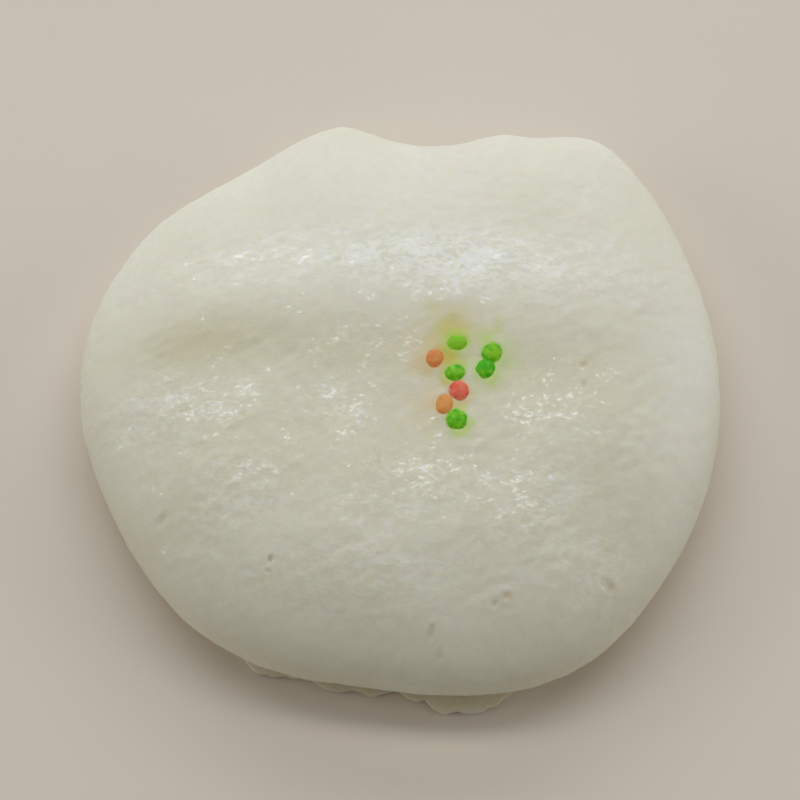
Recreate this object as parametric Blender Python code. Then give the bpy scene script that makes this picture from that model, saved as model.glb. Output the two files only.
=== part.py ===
"""A steamed fermented rice cake: one soft white disc with eight sugar beads sunk in its top.

Metres, +Z up. The flat base lies on z = 0, and the middle of the outline's box is on the z axis.
-Y is the side towards the viewer.
"""

import bisect
import math

import bmesh
import bpy
from mathutils import Vector, noise

MM = 0.001

# The whole cake
THICKNESS = 22.0 * MM
WIDEST_HEIGHT = 8.0 * MM
DOME_FULLNESS = 2.9  # 2 is an ellipse, and more is flatter on top with a rounder shoulder
EVENING_SPAN = math.radians(24)  # the outline's bumps shorter than this fade out towards the middle

# The widest line seen from above: direction in degrees from +X, and reach from the middle
OUTLINE = (
    (-180, 50.3 * MM),
    (-156, 48.4 * MM),
    (-132, 48.9 * MM),
    (-118, 48.3 * MM),
    (-98, 46.9 * MM),
    (-84, 48.0 * MM),
    (-60, 51.5 * MM),
    (-30, 50.4 * MM),
    (0, 50.6 * MM),
    (25, 51.8 * MM),
    (45, 54.6 * MM),
    (55, 55.4 * MM),
    (64, 50.8 * MM),
    (70, 49.1 * MM),
    (77, 45.6 * MM),
    (85, 44.2 * MM),
    (93, 45.5 * MM),
    (102, 48.7 * MM),
    (122, 46.6 * MM),
    (145, 49.4 * MM),
    (165, 50.6 * MM),
)
DIRECTIONS = [direction for direction, reach in OUTLINE]

# Hollows and swells of the top: middle x and y, half length, half width, direction in degrees, rise
TOP_RELIEF = (
    (-33 * MM, 2.0 * MM, 13 * MM, 4.5 * MM, 3, -0.45 * MM),
    (22 * MM, 0.0 * MM, 13 * MM, 5.5 * MM, 8, -0.30 * MM),
    (-29 * MM, -16 * MM, 15 * MM, 8.5 * MM, 8, 0.4 * MM),
    (-30 * MM, -25 * MM, 13 * MM, 8.0 * MM, -35, 0.5 * MM),
    (27 * MM, -11.0 * MM, 11 * MM, 6.5 * MM, 50, 0.4 * MM),
    (3 * MM, -27 * MM, 24 * MM, 11 * MM, 0, 0.5 * MM),
    (33 * MM, -27 * MM, 14 * MM, 8.5 * MM, -50, -0.9 * MM),
    (-26 * MM, 13.5 * MM, 17 * MM, 8.0 * MM, 3, 1.2 * MM),
    (4 * MM, 13.0 * MM, 34 * MM, 9.5 * MM, 0, 1.1 * MM),
    (25 * MM, 12.5 * MM, 12 * MM, 8.0 * MM, 0, 0.4 * MM),
)
UNEVEN_RISE = 0.35 * MM
UNEVEN_LENGTH = 17 * MM

# The wall under the widest line, drawn in to a waist, with long level folds
UNDERCUT = 4.2 * MM
WAIST_HEIGHT = 1.8 * MM
WALL_TURN = math.radians(68)
WRINKLE_DEPTH = 0.35 * MM
WRINKLE_LENGTH = 16 * MM
WRINKLE_HEIGHT = 3.4 * MM

# The thin lip of batter that spread at the base: direction and half width in degrees, share of the undercut
LIP_STRETCHES = (
    (-115, 14, 0.78),
    (-97, 12, 0.80),
    (-80, 12, 1.14),
    (25, 15, 0.60),
    (98, 10, 0.45),
    (168, 14, 0.65),
)
LIP_LEAST = 0.12
LIP_RAGS = 0.45
LIP_RAG_LENGTH = 5.0 * MM
LIP_HEIGHT = 0.9 * MM
LIP_SHOULDER = 1.1 * MM
BASE_INSET = 0.4 * MM

# Sugar beads: middle x and y, width, height of the middle above the cake
BEADS = (
    (8.9 * MM, 4.2 * MM, 3.8 * MM, -0.30 * MM),
    (5.5 * MM, 1.7 * MM, 3.5 * MM, -0.25 * MM),
    (14.4 * MM, 2.7 * MM, 3.6 * MM, 0.00 * MM),
    (13.4 * MM, 0.2 * MM, 3.4 * MM, 0.00 * MM),
    (8.6 * MM, -0.6 * MM, 3.4 * MM, -0.05 * MM),
    (9.2 * MM, -3.5 * MM, 3.4 * MM, 0.00 * MM),
    (6.9 * MM, -5.8 * MM, 3.5 * MM, -0.25 * MM),
    (8.8 * MM, -8.3 * MM, 3.5 * MM, 0.05 * MM),
)
BEAD_FLATNESS = 0.62
BEAD_SIDES = 10
BEAD_RINGS = 5

# Fineness of the mesh
CAP_CELLS = 38
CAP_REACH = 0.84
SHOULDER_RINGS = 6
WALL_RINGS = 4

CAKE_COLOUR = (0.80, 0.79, 0.71, 1.0)


def bell(distance):
    """1 at no distance, falling smoothly to 0 past about two."""
    return math.exp(-distance * distance)


def knot(i):
    """A point of OUTLINE, counted on round the circle."""
    turns, index = divmod(i, len(OUTLINE))
    direction, reach = OUTLINE[index]
    return direction + 360 * turns, reach


def slope(i):
    before, after = knot(i - 1), knot(i + 1)
    return (after[1] - before[1]) / (after[0] - before[0])


def outline_radius(angle):
    """The cake's reach at its widest line, on a smooth closed curve through OUTLINE."""
    degrees = (math.degrees(angle) + 180) % 360 - 180
    i = bisect.bisect_right(DIRECTIONS, degrees) - 1
    (start, low), (end, high) = knot(i), knot(i + 1)
    span = end - start
    t = (degrees - start) / span
    bend = t * (1 - t) * span * (slope(i) * (1 - t) - slope(i + 1) * t)
    return low + (high - low) * t * t * (3 - 2 * t) + bend


def relief(x, y):
    """The hollows, swells and slow unevenness of the top at a plan point."""
    rise = UNEVEN_RISE * noise.noise(Vector((x, y, 0)) / UNEVEN_LENGTH)
    for mid_x, mid_y, half_length, half_width, degrees, height in TOP_RELIEF:
        turn = math.radians(degrees)
        along = (x - mid_x) * math.cos(turn) + (y - mid_y) * math.sin(turn)
        across = (y - mid_y) * math.cos(turn) - (x - mid_x) * math.sin(turn)
        rise += height * bell(math.hypot(along / half_length, across / half_width))
    return rise


def plan_point(angle, radius, height):
    return Vector((radius * math.cos(angle), radius * math.sin(angle), height))


def even_radius(angle):
    """The outline with its small bumps evened out."""
    steps = [EVENING_SPAN * k / 2 for k in (-2, -1, 0, 1, 2)]
    return sum(outline_radius(angle + step) for step in steps) / len(steps)


def top_point(angle, reach):
    """A point of the top, at a share of the way out to the widest line in that direction."""
    even = even_radius(angle)
    bumps = (outline_radius(angle) - even) * reach**3
    place = plan_point(angle, (even + bumps) * reach, WIDEST_HEIGHT)
    dome = math.sqrt(max(0.0, 1 - reach**DOME_FULLNESS))
    place.z += (THICKNESS - WIDEST_HEIGHT + relief(place.x, place.y)) * dome
    return place


def around(angle, length):
    """A place for noise that is the same after a full turn, changing over the given length of rim."""
    return plan_point(angle, OUTLINE[0][1] / length, 0)


def wall_point(angle, turn):
    """A point under the widest line, where turn goes from 0 there to WALL_TURN at the waist."""
    inward = UNDERCUT * (1 - math.cos(turn)) / (1 - math.cos(WALL_TURN))
    height = WIDEST_HEIGHT - (WIDEST_HEIGHT - WAIST_HEIGHT) * math.sin(turn) / math.sin(WALL_TURN)
    fold = noise.noise(around(angle, WRINKLE_LENGTH) + Vector((0, 0, height / WRINKLE_HEIGHT)))
    radius = outline_radius(angle) - inward + WRINKLE_DEPTH * fold * math.sin(turn)
    return plan_point(angle, radius, height)


def lip_reach(angle):
    """How far the ragged lip spreads past the waist, all round the base."""
    share = LIP_LEAST
    for middle, half_width, strength in LIP_STRETCHES:
        apart = abs((math.degrees(angle) - middle + 180) % 360 - 180)
        share = max(share, strength * bell(apart / half_width))
    return UNDERCUT * share * (1 + LIP_RAGS * noise.noise(around(angle, LIP_RAG_LENGTH)))


def lip_point(angle, share, height, inset):
    """A point of the lip's profile, at a share of the way out from the waist."""
    waist = outline_radius(angle) - UNDERCUT
    return plan_point(angle, waist + lip_reach(angle) * share - inset, height)


def rings_below_cap():
    """For each ring from the cap's edge down to the base, the function that places it by angle."""
    rings = []
    first = math.asin(CAP_REACH ** (DOME_FULLNESS / 2))
    for i in range(1, SHOULDER_RINGS + 1):
        turn = first + (math.pi / 2 - first) * i / SHOULDER_RINGS
        reach = math.sin(turn) ** (2 / DOME_FULLNESS)
        rings.append(lambda angle, reach=reach: top_point(angle, reach))
    for i in range(1, WALL_RINGS + 1):
        turn = WALL_TURN * i / WALL_RINGS
        rings.append(lambda angle, turn=turn: wall_point(angle, turn))
    rings.append(lambda angle: lip_point(angle, 0.5, LIP_SHOULDER, 0))
    rings.append(lambda angle: lip_point(angle, 1, LIP_HEIGHT, 0))
    rings.append(lambda angle: lip_point(angle, 1, 0, BASE_INSET))
    return rings


def cake_mesh():
    """A square grid rounded to the outline makes the cap, and rings go down from its edge to a flat base."""
    bm = bmesh.new()
    bmesh.ops.create_grid(bm, x_segments=CAP_CELLS, y_segments=CAP_CELLS, size=1)
    for vert in bm.verts:
        u, v = vert.co.x, vert.co.y
        x, y = u * math.sqrt(1 - v * v / 2), v * math.sqrt(1 - u * u / 2)
        vert.co = top_point(math.atan2(y, x), CAP_REACH * math.hypot(x, y))
    edge = [e for e in bm.edges if e.is_boundary]
    for place in rings_below_cap():
        made = bmesh.ops.extrude_edge_only(bm, edges=edge)["geom"]
        for vert in (g for g in made if isinstance(g, bmesh.types.BMVert)):
            vert.co = place(math.atan2(vert.co.y, vert.co.x))
        edge = [g for g in made if isinstance(g, bmesh.types.BMEdge) and g.is_boundary]
    quads = [face for face in bm.faces]
    bmesh.ops.triangulate(bm, faces=quads, quad_method="SHORT_EDGE")
    bmesh.ops.contextual_create(bm, geom=edge)
    bmesh.ops.recalc_face_normals(bm, faces=bm.faces)
    mesh = bpy.data.meshes.new("rice_cake")
    bm.to_mesh(mesh)
    bm.free()
    return mesh


def white_crumb():
    material = bpy.data.materials.new("white_crumb")
    material.use_nodes = True
    shader = material.node_tree.nodes["Principled BSDF"]
    shader.inputs["Base Color"].default_value = CAKE_COLOUR
    shader.inputs["Roughness"].default_value = 0.38
    shader.inputs["Metallic"].default_value = 0.0
    return material


def bead_mesh(width):
    """A ball pressed low, as a bead that has half melted."""
    bm = bmesh.new()
    bmesh.ops.create_uvsphere(bm, u_segments=BEAD_SIDES, v_segments=BEAD_RINGS, radius=width / 2)
    bmesh.ops.scale(bm, vec=(1, 1, BEAD_FLATNESS), verts=bm.verts)
    mesh = bpy.data.meshes.new("bead")
    bm.to_mesh(mesh)
    bm.free()
    return mesh


def add_beads(collection):
    for i, (x, y, width, rise) in enumerate(BEADS):
        angle = math.atan2(y, x)
        bead = bpy.data.objects.new(f"bead_{i}", bead_mesh(width))
        bead.location = top_point(angle, math.hypot(x, y) / even_radius(angle))
        bead.location.z += rise
        bead.rotation_euler.z = i
        collection.objects.link(bead)


def join_beads(cake, collection):
    """Unites the beads with the cake, then removes them as objects of their own."""
    union = cake.modifiers.new("beads", "BOOLEAN")
    union.operation = "UNION"
    union.operand_type = "COLLECTION"
    union.collection = collection
    union.solver = "EXACT"
    bpy.context.view_layer.update()
    joined = bpy.data.meshes.new_from_object(cake.evaluated_get(bpy.context.evaluated_depsgraph_get()))
    cake.modifiers.clear()
    cake.data = joined
    for bead in list(collection.objects):
        bpy.data.objects.remove(bead)
    bpy.data.collections.remove(collection)


def box_middle(mesh):
    """The middle, seen from above, of the box round a mesh."""
    xs = [vert.co.x for vert in mesh.vertices]
    ys = [vert.co.y for vert in mesh.vertices]
    return Vector(((min(xs) + max(xs)) / 2, (min(ys) + max(ys)) / 2, 0))


def main():
    for obj in list(bpy.data.objects):
        bpy.data.objects.remove(obj)
    cake = bpy.data.objects.new("rice_cake", cake_mesh())
    bpy.context.scene.collection.objects.link(cake)
    beads = bpy.data.collections.new("sugar_beads")
    bpy.context.scene.collection.children.link(beads)
    add_beads(beads)
    join_beads(cake, beads)
    cake.data.materials.clear()
    cake.data.materials.append(white_crumb())
    cake.data.shade_smooth()
    cake.data.set_sharp_from_angle(angle=math.radians(40))
    cake.location = -box_middle(cake.data)


main()
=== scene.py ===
"""The looks of a steamed fermented rice cake: moist, pebbled white crumb with half melted sugar beads.

Metres, +Z up. The named sizes of the cake's form are those of its solid, which this cake replaces, but
its lip reaches a little further at the front left and has fine notches.
"""

import math

import bpy
import numpy as np
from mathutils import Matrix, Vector, noise

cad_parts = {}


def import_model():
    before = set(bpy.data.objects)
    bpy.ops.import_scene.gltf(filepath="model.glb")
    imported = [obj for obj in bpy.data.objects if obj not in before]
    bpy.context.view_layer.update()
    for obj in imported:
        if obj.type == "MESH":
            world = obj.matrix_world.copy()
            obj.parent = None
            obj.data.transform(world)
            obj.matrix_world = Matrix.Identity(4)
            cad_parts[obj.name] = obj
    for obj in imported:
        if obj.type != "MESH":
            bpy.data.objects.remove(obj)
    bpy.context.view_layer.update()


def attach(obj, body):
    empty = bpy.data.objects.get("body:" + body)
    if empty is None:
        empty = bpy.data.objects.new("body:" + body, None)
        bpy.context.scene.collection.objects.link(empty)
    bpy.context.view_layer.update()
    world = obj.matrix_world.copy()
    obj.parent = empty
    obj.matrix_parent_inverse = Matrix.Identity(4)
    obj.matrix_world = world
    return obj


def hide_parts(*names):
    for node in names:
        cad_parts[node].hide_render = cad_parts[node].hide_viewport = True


MM = 0.001

# The whole cake
THICKNESS = 22.0 * MM
WIDEST_HEIGHT = 8.0 * MM
DOME_FULLNESS = 2.9
EVENING_SPAN = math.radians(24)
OUTLINE = (
    (-180, 50.3 * MM),
    (-156, 48.4 * MM),
    (-132, 48.9 * MM),
    (-118, 48.3 * MM),
    (-98, 46.9 * MM),
    (-84, 48.0 * MM),
    (-60, 51.5 * MM),
    (-30, 50.4 * MM),
    (0, 50.6 * MM),
    (25, 51.8 * MM),
    (45, 54.6 * MM),
    (55, 55.4 * MM),
    (64, 50.8 * MM),
    (70, 49.1 * MM),
    (77, 45.6 * MM),
    (85, 44.2 * MM),
    (93, 45.5 * MM),
    (102, 48.7 * MM),
    (122, 46.6 * MM),
    (145, 49.4 * MM),
    (165, 50.6 * MM),
)

# Hollows and swells of the top: middle x and y, half length, half width, direction in degrees, rise
TOP_RELIEF = (
    (-33 * MM, 2.0 * MM, 13 * MM, 4.5 * MM, 3, -0.45 * MM),
    (22 * MM, 0.0 * MM, 13 * MM, 5.5 * MM, 8, -0.30 * MM),
    (-29 * MM, -16 * MM, 15 * MM, 8.5 * MM, 8, 0.4 * MM),
    (-30 * MM, -25 * MM, 13 * MM, 8.0 * MM, -35, 0.5 * MM),
    (27 * MM, -11.0 * MM, 11 * MM, 6.5 * MM, 50, 0.4 * MM),
    (3 * MM, -27 * MM, 24 * MM, 11 * MM, 0, 0.5 * MM),
    (33 * MM, -27 * MM, 14 * MM, 8.5 * MM, -50, -0.9 * MM),
    (-26 * MM, 13.5 * MM, 17 * MM, 8.0 * MM, 3, 1.2 * MM),
    (4 * MM, 13.0 * MM, 34 * MM, 9.5 * MM, 0, 1.1 * MM),
    (25 * MM, 12.5 * MM, 12 * MM, 8.0 * MM, 0, 0.4 * MM),
)
UNEVEN_RISE = 0.35 * MM
UNEVEN_LENGTH = 17 * MM

# The wall under the widest line and the ragged lip at the base
UNDERCUT = 4.2 * MM
WAIST_HEIGHT = 1.8 * MM
WALL_TURN = math.radians(68)
WRINKLE_DEPTH = 0.35 * MM
WRINKLE_LENGTH = 16 * MM
WRINKLE_HEIGHT = 3.4 * MM

# Where the lip runs out furthest: direction and half width in degrees, strength
LIP_STRETCHES = (
    (-115, 14, 0.80),
    (-99, 13, 0.92),
    (-80, 13, 1.14),
    (25, 15, 0.60),
    (98, 10, 0.45),
    (168, 14, 0.65),
)
LIP_LEAST = 0.12
LIP_RAGS = 0.45
LIP_RAG_LENGTH = 5.0 * MM
LIP_HEIGHT = 0.9 * MM
BASE_INSET = 0.4 * MM

# Finer unevenness that only the looks have: rise, length
LUMPS = (
    (0.12 * MM, 9.0 * MM),
    (0.07 * MM, 4.2 * MM),
)
SKIN_RISE = 0.13 * MM
SKIN_LENGTH = 2.2 * MM
SKIN_WIDTH = 1.4 * MM
SKIN_PATCH = 9 * MM
SKIN_DIRECTION = math.radians(32)
FLECK_DIRECTION = math.radians(16)
CROSS_DIRECTION = math.radians(-14)
FOLD_DEPTH = 0.13 * MM
FOLD_LENGTH = 9.0 * MM
FOLD_HEIGHT = 1.1 * MM
NOTCH_DEPTH = 1.5 * MM
NOTCH_LENGTH = 2.2 * MM

# Pores where a bubble broke: x and y, half length, half width, direction in degrees, depth
PORES = (
    (-3.2 * MM, -15.3 * MM, 1.1 * MM, 0.40 * MM, 96, 0.20 * MM),
    (-19.7 * MM, -30.0 * MM, 0.6 * MM, 0.35 * MM, 90, 0.30 * MM),
    (-20.0 * MM, -31.7 * MM, 0.5 * MM, 0.30 * MM, 10, 0.22 * MM),
    (-36.5 * MM, -22.3 * MM, 0.8 * MM, 0.40 * MM, 100, 0.25 * MM),
    (32.1 * MM, -32.9 * MM, 0.8 * MM, 0.6 * MM, 20, 0.28 * MM),
    (16.3 * MM, -35.7 * MM, 0.7 * MM, 0.50 * MM, -30, 0.24 * MM),
    (14.4 * MM, -36.9 * MM, 0.5 * MM, 0.35 * MM, 40, 0.20 * MM),
    (4.8 * MM, -40.8 * MM, 0.8 * MM, 0.5 * MM, 60, 0.26 * MM),
    (6.2 * MM, -43.8 * MM, 0.6 * MM, 0.4 * MM, 20, 0.18 * MM),
    (20.4 * MM, -26.4 * MM, 0.7 * MM, 0.5 * MM, 0, 0.12 * MM),
    (23.9 * MM, -37.5 * MM, 1.1 * MM, 0.8 * MM, 10, 0.10 * MM),
    (-22.7 * MM, 23.6 * MM, 0.6 * MM, 0.5 * MM, 0, 0.08 * MM),
    (-9.8 * MM, 18.4 * MM, 0.8 * MM, 0.45 * MM, 60, 0.16 * MM),
    (-24.0 * MM, -7.3 * MM, 0.6 * MM, 0.4 * MM, 0, 0.10 * MM),
    (28.7 * MM, 1.4 * MM, 0.9 * MM, 0.6 * MM, 70, 0.20 * MM),
    (28.5 * MM, -1.9 * MM, 0.7 * MM, 0.5 * MM, 90, 0.15 * MM),
)
PORE_RAG_LENGTH = 0.9 * MM
# Pores this deep or deeper get the full painted shade
DARKEST_PORE = 0.30 * MM

# Sugar beads: colour, tone (0 deep, 1 light), x and y, length, width, direction, middle above the cake
BEADS = (
    ("green", 1.25, 8.9 * MM, 4.2 * MM, 4.6 * MM, 3.5 * MM, 5, -0.50 * MM),
    ("orange", 0.45, 5.5 * MM, 1.7 * MM, 4.3 * MM, 3.6 * MM, 80, -0.48 * MM),
    ("green", 0.65, 14.4 * MM, 2.7 * MM, 4.2 * MM, 3.9 * MM, 60, -0.38 * MM),
    ("green", 0.15, 13.4 * MM, 0.2 * MM, 4.3 * MM, 3.5 * MM, 75, -0.42 * MM),
    ("green", 0.00, 12.3 * MM, 0.0 * MM, 2.7 * MM, 2.0 * MM, 70, -0.62 * MM),
    ("green", 0.45, 8.6 * MM, -0.6 * MM, 3.8 * MM, 3.4 * MM, 20, -0.43 * MM),
    ("red", 0.75, 9.2 * MM, -3.5 * MM, 4.0 * MM, 3.6 * MM, 100, -0.40 * MM),
    ("orange", 0.90, 6.9 * MM, -5.8 * MM, 4.4 * MM, 3.6 * MM, 70, -0.52 * MM),
    ("green", 0.40, 8.8 * MM, -8.3 * MM, 4.1 * MM, 3.8 * MM, 90, -0.36 * MM),
)
BEAD_HEIGHT = 1.8 * MM
BEAD_SWELL = 0.14 * MM
BEAD_LEAN_STEP = 1.5 * MM
HALO_REACH = 0.30
HALO_STRENGTH = {"green": 0.60, "warm": 0.45}
STAIN_WOBBLE_LENGTH = 2.2 * MM

# Stains in the crumb beyond the ring round each bead: kind, x and y, half length, half width, strength
STAINS = (
    ("olive", 8.2 * MM, 6.5 * MM, 4.2 * MM, 3.4 * MM, 0.72),
    ("olive", 7.4 * MM, 2.1 * MM, 2.4 * MM, 2.8 * MM, 1.00),
    ("green", 15.0 * MM, 2.7 * MM, 3.0 * MM, 3.2 * MM, 0.50),
    ("green", 13.6 * MM, -0.2 * MM, 3.2 * MM, 2.8 * MM, 0.50),
    ("green", 10.8 * MM, 1.2 * MM, 3.4 * MM, 3.2 * MM, 0.30),
    ("green", 8.9 * MM, -8.8 * MM, 3.0 * MM, 2.6 * MM, 0.20),
    ("warm", 4.4 * MM, 1.6 * MM, 2.8 * MM, 2.8 * MM, 0.60),
    ("warm", 6.0 * MM, -5.8 * MM, 3.3 * MM, 2.9 * MM, 0.58),
)
STAIN_COLOURS = {
    "olive": (0.60, 0.51, 0.04, 1),
    "green": (0.50, 0.76, 0.08, 1),
    "warm": (0.80, 0.56, 0.20, 1),
}

# Painted shade: creamier, darker stretches, as in the hollow across the top, where shade falls: x and y, half
# length, half width, direction, strength
PAINTED_SHADE_PATCHES = (
    (-32 * MM, 4.6 * MM, 14 * MM, 4.5 * MM, 3, 1.00),
    (-4 * MM, 2.5 * MM, 18 * MM, 5.0 * MM, -2, 0.55),
    (20 * MM, -0.5 * MM, 13 * MM, 6.0 * MM, 4, 0.50),
    (-20 * MM, -11.0 * MM, 16 * MM, 6.0 * MM, 10, 0.30),
    (2 * MM, -13.0 * MM, 12 * MM, 6.0 * MM, 10, 0.35),
)

# Painted sheen and painted light: whiter stretches, as on the far part and at the sides: x and y, half
# length, half width, direction, strength
PAINTED_SHEEN_PATCHES = (
    (6 * MM, 19 * MM, 32 * MM, 8.0 * MM, -3, 1.00),
    (0 * MM, 32 * MM, 42 * MM, 14.0 * MM, 0, 0.25),
    (45 * MM, 2 * MM, 8 * MM, 24.0 * MM, 0, 0.65),
    (-44 * MM, 4 * MM, 8 * MM, 24.0 * MM, 0, 0.30),
    (4 * MM, -34 * MM, 34 * MM, 12.0 * MM, 0, 0.30),
)

# Moist patches, where the skin glitters with its coat and with glints painted whiter into its colour: x and
# y, half length, half width, direction, strength
WET_AND_GLINT_PATCHES = (
    (-22 * MM, 19 * MM, 22 * MM, 7.0 * MM, 0, 0.60),
    (8 * MM, 18 * MM, 28 * MM, 7.5 * MM, -3, 0.95),
    (-33 * MM, -5 * MM, 15 * MM, 9.0 * MM, 10, 0.95),
    (-9 * MM, -7 * MM, 14 * MM, 9.0 * MM, 30, 0.80),
    (24 * MM, -7 * MM, 14 * MM, 10.0 * MM, 40, 0.75),
    (-3 * MM, 4 * MM, 14 * MM, 6.0 * MM, 0, 0.80),
    (-24 * MM, -18 * MM, 14 * MM, 8.0 * MM, 25, 0.85),
    (2 * MM, -18 * MM, 15 * MM, 9.0 * MM, 10, 0.95),
    (20 * MM, -21 * MM, 13 * MM, 9.0 * MM, 40, 0.95),
    (-6 * MM, -32 * MM, 20 * MM, 8.0 * MM, 0, 0.75),
    (30 * MM, -30 * MM, 10 * MM, 8.0 * MM, -40, 0.80),
)
UPPER_HEIGHT = 14 * MM

# Fineness of the mesh
CAP_CELLS = 208
CAP_REACH = 0.84
SHOULDER_RINGS = 18
WALL_RINGS = 16
LIP_RINGS = 8
BEAD_SIDES = 48
BEAD_RINGS = 28

# The pale floor and the wall round it
FLOOR_HALF = 6.0
BACKDROP_REACH = 1.2
BACKDROP_HEIGHT = 2.5
BACKDROP_SIDES = 128

# Where the photograph was taken from
VIEW_ELEVATION = math.radians(68)
VIEW_DISTANCE = 0.60
LENS_MM = 172
AIM = Vector((0, 0, 11 * MM))


def outline_table():
    """The widest line on a smooth closed curve through OUTLINE, at even steps of angle."""
    count = len(OUTLINE)
    directions = np.array([OUTLINE[i % count][0] + 360 * (i // count) for i in range(-1, count + 2)], float)
    reaches = np.array([OUTLINE[i % count][1] for i in range(-1, count + 2)])
    slopes = np.zeros(count + 3)
    slopes[1:-1] = (reaches[2:] - reaches[:-2]) / (directions[2:] - directions[:-2])
    angles = np.linspace(-180, 180, 2880, endpoint=False)
    i = np.searchsorted(directions, angles, side="right") - 1
    span = directions[i + 1] - directions[i]
    t = (angles - directions[i]) / span
    bend = t * (1 - t) * span * (slopes[i] * (1 - t) - slopes[i + 1] * t)
    return np.radians(angles), reaches[i] + (reaches[i + 1] - reaches[i]) * t * t * (3 - 2 * t) + bend


TABLE_ANGLES, TABLE_REACHES = outline_table()


def outline_radius(angle):
    return np.interp(angle, TABLE_ANGLES, TABLE_REACHES, period=math.tau)


def even_radius(angle):
    """The outline with its small bumps evened out."""
    return sum(outline_radius(angle + EVENING_SPAN * k / 2) for k in (-2, -1, 0, 1, 2)) / 5


def bell(distance):
    return np.exp(-distance * distance)


def noise_at(points, seed=0):
    """Smooth noise at each point of an array, already divided by its length."""
    shift = Vector((seed * 17.3, seed * 5.1, seed * 9.7))
    return np.array([noise.noise(Vector(point) + shift) for point in points])


def oval(x, y, mid_x, mid_y, half_length, half_width, degrees):
    """How far plan points lie from the middle of an oval, as a share of its reach."""
    turn = math.radians(degrees)
    along = (x - mid_x) * math.cos(turn) + (y - mid_y) * math.sin(turn)
    across = (y - mid_y) * math.cos(turn) - (x - mid_x) * math.sin(turn)
    return np.hypot(along / half_length, across / half_width)


def relief(x, y):
    flat = np.stack([x, y, np.zeros_like(x)], axis=-1) / UNEVEN_LENGTH
    rise = UNEVEN_RISE * noise_at(flat)
    for mid_x, mid_y, half_length, half_width, degrees, height in TOP_RELIEF:
        rise += height * bell(oval(x, y, mid_x, mid_y, half_length, half_width, degrees))
    return rise


def plan_points(angle, radius, height):
    return np.stack([radius * np.cos(angle), radius * np.sin(angle), height + np.zeros_like(angle)], axis=-1)


def top_points(angle, reach):
    """Points of the top, at a share of the way out to the widest line."""
    even = even_radius(angle)
    bumps = (outline_radius(angle) - even) * reach**3
    places = plan_points(angle, (even + bumps) * reach, WIDEST_HEIGHT)
    dome = np.sqrt(np.maximum(0.0, 1 - reach**DOME_FULLNESS))
    places[:, 2] += (THICKNESS - WIDEST_HEIGHT + relief(places[:, 0], places[:, 1])) * dome
    return places


def around(angle, length):
    return plan_points(angle, OUTLINE[0][1] / length, 0.0)


def wall_points(angle, turn):
    inward = UNDERCUT * (1 - math.cos(turn)) / (1 - math.cos(WALL_TURN))
    height = WIDEST_HEIGHT - (WIDEST_HEIGHT - WAIST_HEIGHT) * math.sin(turn) / math.sin(WALL_TURN)
    places = around(angle, WRINKLE_LENGTH)
    places[:, 2] = height / WRINKLE_HEIGHT
    radius = outline_radius(angle) - inward + WRINKLE_DEPTH * noise_at(places) * math.sin(turn)
    return plan_points(angle, radius, height)


def lip_reach(angle):
    share = np.full_like(angle, LIP_LEAST)
    for middle, half_width, strength in LIP_STRETCHES:
        apart = np.abs((np.degrees(angle) - middle + 180) % 360 - 180)
        share = np.maximum(share, strength * bell(apart / half_width))
    coarse = UNDERCUT * share * (1 + LIP_RAGS * noise_at(around(angle, LIP_RAG_LENGTH)))
    notches = NOTCH_DEPTH * np.maximum(0, noise_at(around(angle, NOTCH_LENGTH), seed=3))
    return coarse - notches * np.minimum(1.0, share)


def lip_points(angle, share):
    """From the waist the lip runs out in a hollow curve to a narrow rounded edge."""
    waist = outline_radius(angle) - UNDERCUT
    height = LIP_HEIGHT + (WAIST_HEIGHT - LIP_HEIGHT) * (1 - share) ** 2
    return plan_points(angle, waist + lip_reach(angle) * share, height)


def rings_below_cap(angle):
    """Each ring from the cap's edge down to the base."""
    rings = []
    first = math.asin(CAP_REACH ** (DOME_FULLNESS / 2))
    for i in range(1, SHOULDER_RINGS + 1):
        turn = first + (math.pi / 2 - first) * i / SHOULDER_RINGS
        reach = math.sin(turn) ** (2 / DOME_FULLNESS)
        rings.append(top_points(angle, np.full_like(angle, reach)))
    for i in range(1, WALL_RINGS + 1):
        rings.append(wall_points(angle, WALL_TURN * i / WALL_RINGS))
    for i in range(1, LIP_RINGS + 1):
        rings.append(lip_points(angle, i / LIP_RINGS))
    edge = outline_radius(angle) - UNDERCUT + lip_reach(angle)
    rings.append(plan_points(angle, edge - 0.1 * MM, 0.5 * LIP_HEIGHT))
    rings.append(plan_points(angle, edge - BASE_INSET, 0.0))
    return rings


def cake_grid():
    """The points and faces of the bare form: a rounded square grid, rings below it and a flat base."""
    count = CAP_CELLS + 1
    line = np.linspace(-1, 1, count)
    u, v = np.meshgrid(line, line)
    x, y = u * np.sqrt(1 - v * v / 2), v * np.sqrt(1 - u * u / 2)
    cap = top_points(np.arctan2(y, x).ravel(), (CAP_REACH * np.hypot(x, y)).ravel())
    index = np.arange(count * count).reshape(count, count)
    faces = np.stack([index[:-1, :-1], index[:-1, 1:], index[1:, 1:], index[1:, :-1]], axis=-1).reshape(-1, 4)
    edge = np.concatenate([index[0, :-1], index[:-1, -1], index[-1, :0:-1], index[:0:-1, 0]])
    angle = np.arctan2(y, x).ravel()[edge]
    points, all_faces, above = [cap], faces.tolist(), edge
    for ring in rings_below_cap(angle):
        below = np.arange(len(edge)) + sum(len(p) for p in points)
        points.append(ring)
        quads = np.stack([np.roll(above, -1), above, below, np.roll(below, -1)], axis=-1)
        all_faces += quads.tolist()
        above = below
    all_faces.append(above[::-1].tolist())
    return np.concatenate(points), all_faces


def rising(value, low, high):
    """0 below low and 1 above high, with a smooth turn between."""
    share = np.clip((value - low) / (high - low), 0, 1)
    return share * share * (3 - 2 * share)


def normals_of(mesh):
    normals = np.empty(len(mesh.vertices) * 3, dtype=np.float32)
    mesh.vertex_normals.foreach_get("vector", normals)
    return normals.reshape(-1, 3).astype(float)


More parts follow.
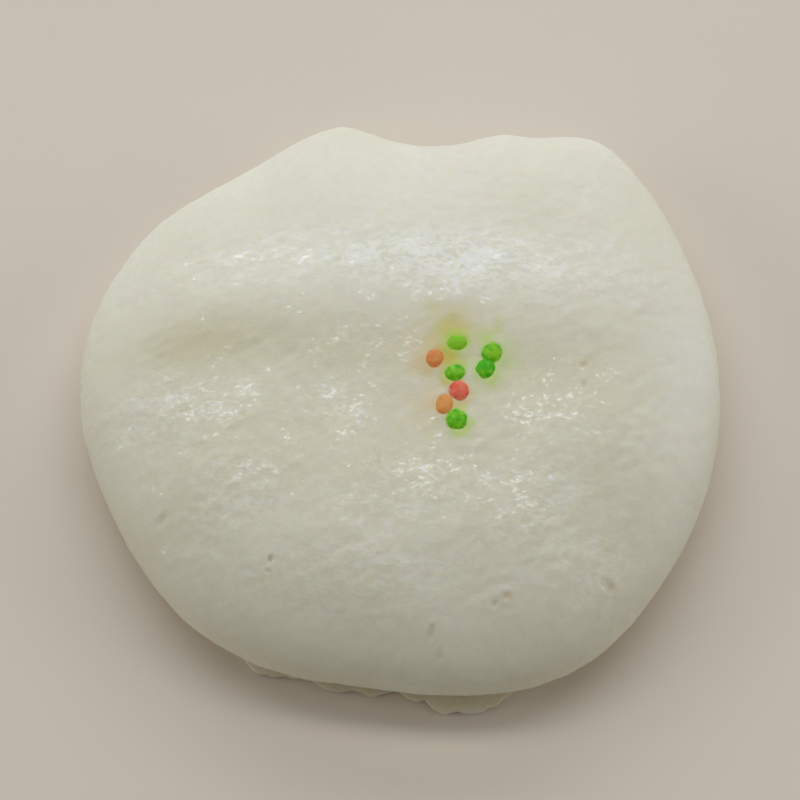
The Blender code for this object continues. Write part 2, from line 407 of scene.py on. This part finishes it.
def pore_fields(points):
    """How deep each point lies in one of the pores, and how much painted shade it gets there, more in deeper
    ones.
    """
    depth = np.zeros(len(points))
    painted_pit_shade = np.zeros(len(points))
    upper = points[:, 2] > WIDEST_HEIGHT
    ragged = 1 + 0.7 * noise_at(points / PORE_RAG_LENGTH, seed=9)
    for mid_x, mid_y, half_length, half_width, degrees, deep in PORES:
        away = oval(points[:, 0], points[:, 1], mid_x, mid_y, half_length, half_width, degrees) * ragged
        depth += deep * (bell(away) - 0.35 * bell((away - 1.7) * 1.6)) * upper
        painted_pit_shade = np.maximum(painted_pit_shade, bell(away) * min(1.0, deep / DARKEST_PORE) * upper)
    return depth, painted_pit_shade


def bead_swell(points):
    """The crumb rises a little against each bead."""
    rise = np.zeros(len(points))
    for colour, tone, mid_x, mid_y, length, width, degrees, middle in BEADS:
        away = oval(points[:, 0], points[:, 1], mid_x, mid_y, length / 2, width / 2, degrees)
        rise = np.maximum(rise, BEAD_SWELL * bell((away - 0.9) * 2.0))
    return rise * (points[:, 2] > WIDEST_HEIGHT)


def skin_field(points):
    """Short low ridges of the moist skin, all leaning one way, in patches."""
    x, y, z = points.T
    along = x * math.cos(SKIN_DIRECTION) + y * math.sin(SKIN_DIRECTION)
    across = y * math.cos(SKIN_DIRECTION) - x * math.sin(SKIN_DIRECTION)
    ridges = noise_at(np.stack([along / SKIN_LENGTH, across / SKIN_WIDTH, z / SKIN_WIDTH], axis=-1), seed=5)
    patches = rising(noise_at(points / SKIN_PATCH, seed=6), -0.25, 0.35)
    return SKIN_RISE * ridges * (0.5 + 0.5 * patches)


def fold_field(points):
    """Fine level folds of the wall and the lower shoulder."""
    angle = np.arctan2(points[:, 1], points[:, 0])
    places = around(angle, FOLD_LENGTH)
    places[:, 2] = points[:, 2] / FOLD_HEIGHT
    band = rising(points[:, 2], 0.6 * MM, 2.5 * MM) * (1 - rising(points[:, 2], WIDEST_HEIGHT, UPPER_HEIGHT))
    return FOLD_DEPTH * noise_at(places, seed=7) * band


def add_field(mesh, name, values):
    layer = mesh.attributes.new(name, "FLOAT", "POINT")
    layer.data.foreach_set("value", values.astype(np.float32))


def stain_fields(points):
    stains = {kind: np.zeros(len(points)) for kind in STAIN_COLOURS}
    wobble = 1 + 0.5 * noise_at(points / STAIN_WOBBLE_LENGTH, seed=8)
    for kind, mid_x, mid_y, half_length, half_width, strength in STAINS:
        away = oval(points[:, 0], points[:, 1], mid_x, mid_y, half_length, half_width, 0) * wobble
        stains[kind] = np.maximum(stains[kind], strength * bell(away))
    for colour, tone, mid_x, mid_y, length, width, degrees, middle in BEADS:
        away = oval(points[:, 0], points[:, 1], mid_x, mid_y, length / 2, width / 2, degrees) * wobble
        kind = "green" if colour == "green" else "warm"
        halo = HALO_STRENGTH[kind] * bell(np.maximum(away - 0.9, 0) / HALO_REACH)
        stains[kind] = np.maximum(stains[kind], halo)
    return stains


def patch_field(points, patches):
    """The strongest of some oval patches at each point of the top, and 0 beyond them."""
    strength = np.zeros(len(points))
    upper = rising(points[:, 2], WIDEST_HEIGHT, UPPER_HEIGHT)
    for mid_x, mid_y, half_length, half_width, degrees, most in patches:
        away = oval(points[:, 0], points[:, 1], mid_x, mid_y, half_length, half_width, degrees)
        strength = np.maximum(strength, most * bell(away) * upper)
    return strength


def box_middle(points):
    """The middle, seen from above, of the box round an array of points."""
    middle = (points.min(axis=0) + points.max(axis=0)) / 2
    return Vector((middle[0], middle[1], 0))


def wet_and_glint_field(points):
    """How moist the skin is, and so where its coat glints and glints are painted into its colour: in patches
    on the top, and at the narrow lip.
    """
    lip = 1 - rising(points[:, 2], 1.5 * MM, 4.0 * MM)
    return np.maximum(patch_field(points, WET_AND_GLINT_PATCHES), lip)


def make_cake():
    points, faces = cake_grid()
    mesh = bpy.data.meshes.new("steamed_cake")
    mesh.from_pydata(points.tolist(), [], faces)
    mesh.update()
    normals = normals_of(mesh)
    free = rising(points[:, 2], 0.5 * MM, 2.0 * MM)
    depth, painted_pit_shade = pore_fields(points)
    rise = skin_field(points) + fold_field(points) - depth + bead_swell(points)
    for seed, (height, length) in enumerate(LUMPS):
        rise += height * noise_at(points / length, seed=seed + 1)
    moved = points + normals * (rise * free)[:, None]
    mesh.vertices.foreach_set("co", moved.ravel())
    mesh.update()
    # Painted shade in the pores
    add_field(mesh, "painted_pore_shade", painted_pit_shade)
    # Painted shade and warm bounce: a brown tint low on the wall and at the lip
    add_field(mesh, "painted_base_shade", 1 - rising(points[:, 2], 1.5 * MM, 7.5 * MM))
    add_field(mesh, "wet_and_painted_glint", wet_and_glint_field(points))
    # Painted shade, in patches
    add_field(mesh, "painted_shade", patch_field(points, PAINTED_SHADE_PATCHES))
    # Painted sheen and painted light, in patches
    add_field(mesh, "pale", patch_field(points, PAINTED_SHEEN_PATCHES))
    for kind, strength in stain_fields(points).items():
        add_field(mesh, f"{kind}_stain", strength)
    mesh.shade_smooth()
    cake = bpy.data.objects.new("steamed_cake", mesh)
    bpy.context.scene.collection.objects.link(cake)
    cake.location = -box_middle(points)
    return cake


def surface_height(x, y):
    """The height of the bare top above the floor at one plan point."""
    angle = np.array([math.atan2(y, x)])
    reach = np.array([math.hypot(x, y)]) / even_radius(angle)
    return float(top_points(angle, reach)[0, 2])


def bead_points(seed, x, y, length, width, degrees, rise):
    """One bead as a low rounded drop, a little uneven, leaning with the cake's slope."""
    polar = np.linspace(0, math.pi, BEAD_RINGS + 1)[1:-1]
    turn = np.linspace(0, math.tau, BEAD_SIDES, endpoint=False)
    shape = [(0.0, 0.0, 1.0)]
    for p in polar:
        for t in turn:
            shape.append((math.sin(p) * math.cos(t), math.sin(p) * math.sin(t), math.cos(p)))
    shape.append((0.0, 0.0, -1.0))
    shape = np.array(shape)
    uneven = 1 + 0.09 * noise_at(shape * 1.1, seed=seed) + 0.02 * noise_at(shape * 3.5, seed=seed + 1)
    shape = shape * uneven[:, None]
    local = shape * np.array([length / 2, width / 2, BEAD_HEIGHT / 2])
    angle = math.radians(degrees)
    px = local[:, 0] * math.cos(angle) - local[:, 1] * math.sin(angle)
    py = local[:, 0] * math.sin(angle) + local[:, 1] * math.cos(angle)
    step = BEAD_LEAN_STEP
    lean_x = (surface_height(x + step, y) - surface_height(x - step, y)) / (2 * step)
    lean_y = (surface_height(x, y + step) - surface_height(x, y - step)) / (2 * step)
    height = surface_height(x, y) + rise + local[:, 2] + px * lean_x + py * lean_y
    return np.stack([x + px, y + py, height], axis=-1)


def bead_faces(start):
    faces = []
    for side in range(BEAD_SIDES):
        after = (side + 1) % BEAD_SIDES
        faces.append((start, start + 1 + side, start + 1 + after))
        for ring in range(BEAD_RINGS - 2):
            a = start + 1 + ring * BEAD_SIDES
            b = a + BEAD_SIDES
            faces.append((a + side, b + side, b + after, a + after))
        last = start + 1 + (BEAD_RINGS - 2) * BEAD_SIDES
        faces.append((last + side, last + BEAD_SIDES, last + after))
    return faces


def bead_rim(points, x, y, length, width, degrees):
    """0 at the bead's middle and 1 at its outer line, where it has melted into the crumb."""
    return oval(points[:, 0], points[:, 1], x, y, length / 2, width / 2, degrees) ** 3


def make_beads(colour):
    """All the beads of one colour as one mesh, each with its own tone."""
    points, faces, tones, rims = [], [], [], []
    for number, (kind, tone, *place) in enumerate(BEADS):
        if kind != colour:
            continue
        faces += bead_faces(sum(len(p) for p in points))
        points.append(bead_points(20 + 2 * number, *place))
        tones += [tone] * len(points[-1])
        rims.append(bead_rim(points[-1], *place[:5]))
    mesh = bpy.data.meshes.new(f"{colour}_beads")
    mesh.from_pydata(np.concatenate(points).tolist(), [], faces)
    mesh.update()
    add_field(mesh, "tone", np.array(tones))
    add_field(mesh, "rim", np.concatenate(rims))
    mesh.shade_smooth()
    beads = bpy.data.objects.new(f"{colour}_beads", mesh)
    bpy.context.scene.collection.objects.link(beads)
    return beads


class Nodes:
    """Builds a material's nodes in few words."""

    def __init__(self, name):
        self.material = bpy.data.materials.new(name)
        self.material.use_nodes = True
        self.tree = self.material.node_tree
        self.shader = self.tree.nodes["Principled BSDF"]

    def add(self, kind, **settings):
        node = self.tree.nodes.new(kind)
        for key, value in settings.items():
            setattr(node, key, value)
        return node

    def link(self, source, target):
        self.tree.links.new(source, target)

    def place(self, scale, turn=0.0, seed=0.0):
        """Object coordinates, turned about Z, then scaled to a count of features per metre."""
        coordinates = self.add("ShaderNodeTexCoord")
        turned = self.add("ShaderNodeMapping")
        turned.inputs["Rotation"].default_value = (0, 0, -turn)
        turned.inputs["Location"].default_value = (seed, seed * 0.7, 0)
        scaled = self.add("ShaderNodeMapping")
        scaled.inputs["Scale"].default_value = scale
        self.link(coordinates.outputs["Object"], turned.inputs["Vector"])
        self.link(turned.outputs["Vector"], scaled.inputs["Vector"])
        return scaled.outputs["Vector"]

    def noise(self, scale, turn=0.0, detail=2.0, seed=0.0):
        texture = self.add("ShaderNodeTexNoise")
        texture.inputs["Scale"].default_value = 1.0
        texture.inputs["Detail"].default_value = detail
        self.link(self.place(scale, turn, seed), texture.inputs["Vector"])
        return texture.outputs["Fac"]

    def range(self, value, low, high, to_low, to_high):
        node = self.add("ShaderNodeMapRange")
        for name, number in (("From Min", low), ("From Max", high), ("To Min", to_low), ("To Max", to_high)):
            node.inputs[name].default_value = number
        self.link(value, node.inputs["Value"])
        return node.outputs["Result"]

    def math(self, operation, first, second):
        node = self.add("ShaderNodeMath", operation=operation)
        for socket, value in zip(node.inputs, (first, second)):
            if isinstance(value, (int, float)):
                socket.default_value = value
            else:
                self.link(value, socket)
        return node.outputs["Value"]

    def mix(self, share, first, second):
        node = self.add("ShaderNodeMix", data_type="RGBA")
        for name, value in (("Factor", share), ("A", first), ("B", second)):
            socket = next(s for s in node.inputs if s.name == name and s.enabled)
            if isinstance(value, (int, float, tuple)):
                socket.default_value = value
            else:
                self.link(value, socket)
        return next(s for s in node.outputs if s.enabled)

    def field(self, name):
        return self.add("ShaderNodeAttribute", attribute_name=name).outputs["Fac"]

    def bump(self, height, distance, strength=1.0, under=None):
        node = self.add("ShaderNodeBump")
        node.inputs["Distance"].default_value = distance
        node.inputs["Strength"].default_value = strength
        self.link(height, node.inputs["Height"])
        if under is not None:
            self.link(under, node.inputs["Normal"])
        return node.outputs["Normal"]

    def set(self, **values):
        for name, value in values.items():
            self.shader.inputs[name.replace("_", " ")].default_value = value


def cake_material():
    """Cream white crumb with painted light: painted sheen on the far part and sides, painted shade in the
    hollow, near the base and in the pores; where the grain is high it is moist and glints, from its coat and
    from glints painted whiter into its colour, and a stain keeps the glints off.
    """
    n = Nodes("cake_crumb")
    cloud = n.noise((70, 70, 70), detail=3)
    mottle = n.noise((900, 900, 900), detail=2, seed=0.3)
    white = n.mix(n.range(cloud, 0.35, 0.65, 0, 1), (0.82, 0.79, 0.64, 1), (0.85, 0.83, 0.70, 1))
    white = n.mix(n.range(mottle, 0.3, 0.7, 0, 0.35), white, (0.74, 0.71, 0.55, 1))
    # Painted shade: a darker, yellower colour in the hollow across the top and on the mound
    colour = n.mix(n.math("MULTIPLY", n.field("painted_shade"), 0.60), white, (0.75, 0.69, 0.43, 1))
    # Painted sheen and painted light: the pale patches whiten the colour where light falls and glances off
    colour = n.mix(n.math("MULTIPLY", n.field("pale"), 0.60), colour, (0.94, 0.94, 0.89, 1))
    stained = 0.0
    for kind, tint in STAIN_COLOURS.items():
        strength = n.field(f"{kind}_stain")
        colour = n.mix(strength, colour, tint)
        stained = n.math("MAXIMUM", stained, strength)
    # Painted shade and warm bounce: the colour turns brown low on the wall and at the lip
    colour = n.mix(n.math("MULTIPLY", n.field("painted_base_shade"), 0.8), colour, (0.91, 0.74, 0.50, 1))
    # Painted shade in the pores: darker and tan, more in deeper ones
    colour = n.mix(n.math("MULTIPLY", n.field("painted_pore_shade"), 0.6), colour, (0.70, 0.58, 0.36, 1))
    roughness = n.range(n.noise((260, 260, 260), seed=0.7), 0.3, 0.7, 0.46, 0.60)
    n.link(roughness, n.shader.inputs["Roughness"])
    leaning = n.noise((800, 1500, 1200), turn=FLECK_DIRECTION, detail=2, seed=0.9)
    crossing = n.noise((900, 1500, 1200), turn=CROSS_DIRECTION, detail=2, seed=0.1)
    flecks = n.math("MAXIMUM", leaning, crossing)
    clusters = n.noise((210, 400, 300), turn=FLECK_DIRECTION, detail=3, seed=0.6)
    spread = n.math("ADD", n.math("MULTIPLY", clusters, 0.5), n.math("MULTIPLY", n.field("wet_and_painted_glint"), 0.17))
    grain = n.math("ADD", flecks, spread)
    bare = n.range(stained, 0.15, 0.55, 1.0, 0.1)
    wet_and_painted_glint = n.math("MULTIPLY", n.range(grain, 0.995, 1.10, 0.03, 1), bare)
    n.link(wet_and_painted_glint, n.shader.inputs["Coat Weight"])
    # Within the moist patches the colour is darker where the grain is low
    dim_grain = n.math("MULTIPLY", n.range(grain, 0.96, 0.84, 0.0, 0.8), n.math("MULTIPLY", n.field("wet_and_painted_glint"), bare))
    colour = n.mix(dim_grain, colour, (0.74, 0.72, 0.57, 1))
    # Painted glints: the colour is whitened where the coat glints
    colour = n.mix(n.math("MULTIPLY", wet_and_painted_glint, 0.45), colour, (0.97, 0.97, 0.92, 1))
    n.link(colour, n.shader.inputs["Base Color"])
    n.set(Coat_Roughness=0.23, Coat_IOR=1.92, IOR=1.36)
    n.link(n.range(stained, 0.15, 0.60, 0.8, 0.05), n.shader.inputs["Subsurface Weight"])
    n.set(Subsurface_Radius=(1.0, 0.85, 0.55), Subsurface_Scale=0.0025)
    dashes = n.noise((650, 1000, 900), turn=SKIN_DIRECTION, detail=2, seed=0.2)
    pebbles = n.noise((1200, 2000, 1600), turn=CROSS_DIRECTION, detail=1, seed=0.5)
    n.link(n.bump(pebbles, 0.00005, 0.5, n.bump(dashes, 0.00008, 0.5)), n.shader.inputs["Normal"])
    n.link(n.bump(pebbles, 0.00009, 1.0, n.bump(dashes, 0.00010, 1.0)), n.shader.inputs["Coat Normal"])
    return n.material


BEAD_TONES = {
    "green": ((0.05, 0.47, 0.0, 1), (0.27, 0.63, 0.02, 1), (0.60, 0.76, 0.16, 1)),
    "orange": ((0.78, 0.23, 0.07, 1), (0.79, 0.36, 0.09, 1), (0.88, 0.62, 0.34, 1)),
    "red": ((0.80, 0.08, 0.04, 1), (0.86, 0.20, 0.12, 1), (0.88, 0.46, 0.28, 1)),
}


def bead_material(colour):
    """Mottled sugar, lighter in the middle as a painted highlight and darker towards the rim as painted
    shade, paler where its ragged rim has melted.
    """
    n = Nodes(f"{colour}_sugar")
    deep, light, melted = BEAD_TONES[colour]
    patches = n.range(n.noise((900, 900, 900), detail=3), 0.35, 0.65, -0.5, 0.5)
    # Painted highlight in the middle of each bead and painted shade towards its rim
    painted_middle_light_and_rim_shade = n.range(n.field("rim"), 0.1, 0.5, 0.15, -0.35)
    share = n.math("ADD", n.field("tone"), n.math("ADD", patches, painted_middle_light_and_rim_shade))
    tone = n.mix(share, deep, light)
    raggedness = n.range(n.noise((1600, 1600, 1600), seed=0.8), 0.3, 0.7, -0.2, 0.2)
    rim = n.range(n.math("ADD", n.field("rim"), raggedness), 0.38, 0.80, 0.0, 0.85)
    n.link(n.mix(rim, tone, melted), n.shader.inputs["Base Color"])
    n.link(n.range(n.noise((1500, 1500, 1500), seed=0.4), 0.3, 0.7, 0.32, 0.5), n.shader.inputs["Roughness"])
    n.set(Subsurface_Weight=0.15, Subsurface_Radius=(1.0, 0.8, 0.4), Subsurface_Scale=0.0004)
    n.set(Coat_Weight=0.06, Coat_Roughness=0.2, IOR=1.27)
    bumps = n.bump(n.noise((1500, 1500, 1500), detail=2, seed=0.6), 0.00012, 0.8)
    n.link(bumps, n.shader.inputs["Normal"])
    n.link(bumps, n.shader.inputs["Coat Normal"])
    return n.material


def make_floor():
    mesh = bpy.data.meshes.new("floor")
    half = FLOOR_HALF
    corners = [(-half, -half, 0), (half, -half, 0), (half, half, 0), (-half, half, 0)]
    mesh.from_pydata(corners, [], [(0, 1, 2, 3)])
    floor = bpy.data.objects.new("floor", mesh)
    bpy.context.scene.collection.objects.link(floor)
    n = Nodes("pale_floor")
    tone = n.range(n.noise((9, 9, 9), detail=3), 0.3, 0.7, 0, 1)
    n.link(n.mix(tone, (0.76, 0.69, 0.59, 1), (0.79, 0.72, 0.62, 1)), n.shader.inputs["Base Color"])
    n.set(Roughness=0.75)
    floor.data.materials.append(n.material)


def make_backdrop():
    """A pale wall round the floor, seen by the camera alone so that it lights nothing."""
    steps = [math.tau * i / BACKDROP_SIDES for i in range(BACKDROP_SIDES)]
    ring = [(BACKDROP_REACH * math.cos(t), BACKDROP_REACH * math.sin(t)) for t in steps]
    points = [(x, y, z) for z in (0.0, BACKDROP_HEIGHT) for x, y in ring]
    faces = []
    for i in range(BACKDROP_SIDES):
        after = (i + 1) % BACKDROP_SIDES
        faces.append((i, after, after + BACKDROP_SIDES, i + BACKDROP_SIDES))
    mesh = bpy.data.meshes.new("backdrop")
    mesh.from_pydata(points, [], faces)
    backdrop = bpy.data.objects.new("backdrop", mesh)
    bpy.context.scene.collection.objects.link(backdrop)
    backdrop.visible_diffuse = False
    backdrop.visible_glossy = False
    backdrop.visible_transmission = False
    backdrop.visible_shadow = False
    n = Nodes("pale_wall")
    n.set(Base_Color=(0, 0, 0, 1), Specular_IOR_Level=0.0)
    n.set(Emission_Color=(0.61, 0.585, 0.57, 1), Emission_Strength=1.0)
    backdrop.data.materials.append(n.material)


def area_light(name, elevation, azimuth, distance, width, height, power, colour):
    """A soft light aimed at the cake; azimuth 90 is behind it."""
    data = bpy.data.lights.new(name, "AREA")
    data.shape = "RECTANGLE"
    data.size = width
    data.size_y = height
    data.energy = power
    data.color = colour
    light = bpy.data.objects.new(name, data)
    up, side = math.radians(elevation), math.radians(azimuth)
    out = Vector((math.cos(up) * math.cos(side), math.cos(up) * math.sin(side), math.sin(up)))
    light.location = AIM + out * distance
    light.rotation_euler = out.to_track_quat("Z", "Y").to_euler()
    bpy.context.scene.collection.objects.link(light)


def make_lights():
    area_light("back_window", 28, 90, 1.4, 2.0, 0.7, 9.3, (0.94, 1.00, 1.13))
    area_light("key", 67, 90, 1.0, 1.50, 0.26, 3.6, (1.0, 0.99, 0.96))
    area_light("left_fill", 25, 180, 1.2, 0.8, 0.5, 2.6, (1.0, 0.99, 0.97))
    area_light("right_fill", 25, 0, 1.2, 0.8, 0.5, 2.4, (1.0, 0.99, 0.97))
    area_light("overhead", 92, 90, 1.0, 1.20, 0.20, 0.3, (1.0, 0.99, 0.96))
    area_light("front_fill", 35, 270, 1.4, 1.4, 0.6, 0.45, (1.0, 0.98, 0.95))
    world = bpy.data.worlds.new("studio")
    world.use_nodes = True
    background = world.node_tree.nodes["Background"]
    background.inputs["Color"].default_value = (0.93, 0.93, 0.90, 1)
    background.inputs["Strength"].default_value = 0.115
    bpy.context.scene.world = world


def make_camera():
    data = bpy.data.cameras.new("camera")
    data.lens = LENS_MM
    data.sensor_width = 36
    camera = bpy.data.objects.new("camera", data)
    out = Vector((0, -math.cos(VIEW_ELEVATION), math.sin(VIEW_ELEVATION)))
    camera.location = AIM + out * VIEW_DISTANCE
    camera.rotation_euler = out.to_track_quat("Z", "Y").to_euler()
    bpy.context.scene.collection.objects.link(camera)
    bpy.context.scene.camera = camera


def main():
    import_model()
    make_camera()
    make_lights()
    make_floor()
    make_backdrop()
    cake = make_cake()
    cake.data.materials.append(cake_material())
    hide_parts("rice_cake")
    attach(cake, "root")
    for colour in BEAD_TONES:
        beads = make_beads(colour)
        beads.location = cake.location
        beads.data.materials.append(bead_material(colour))
        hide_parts("rice_cake")
        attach(beads, "root")
    bpy.context.scene.view_settings.view_transform = "Standard"
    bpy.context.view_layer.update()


main()
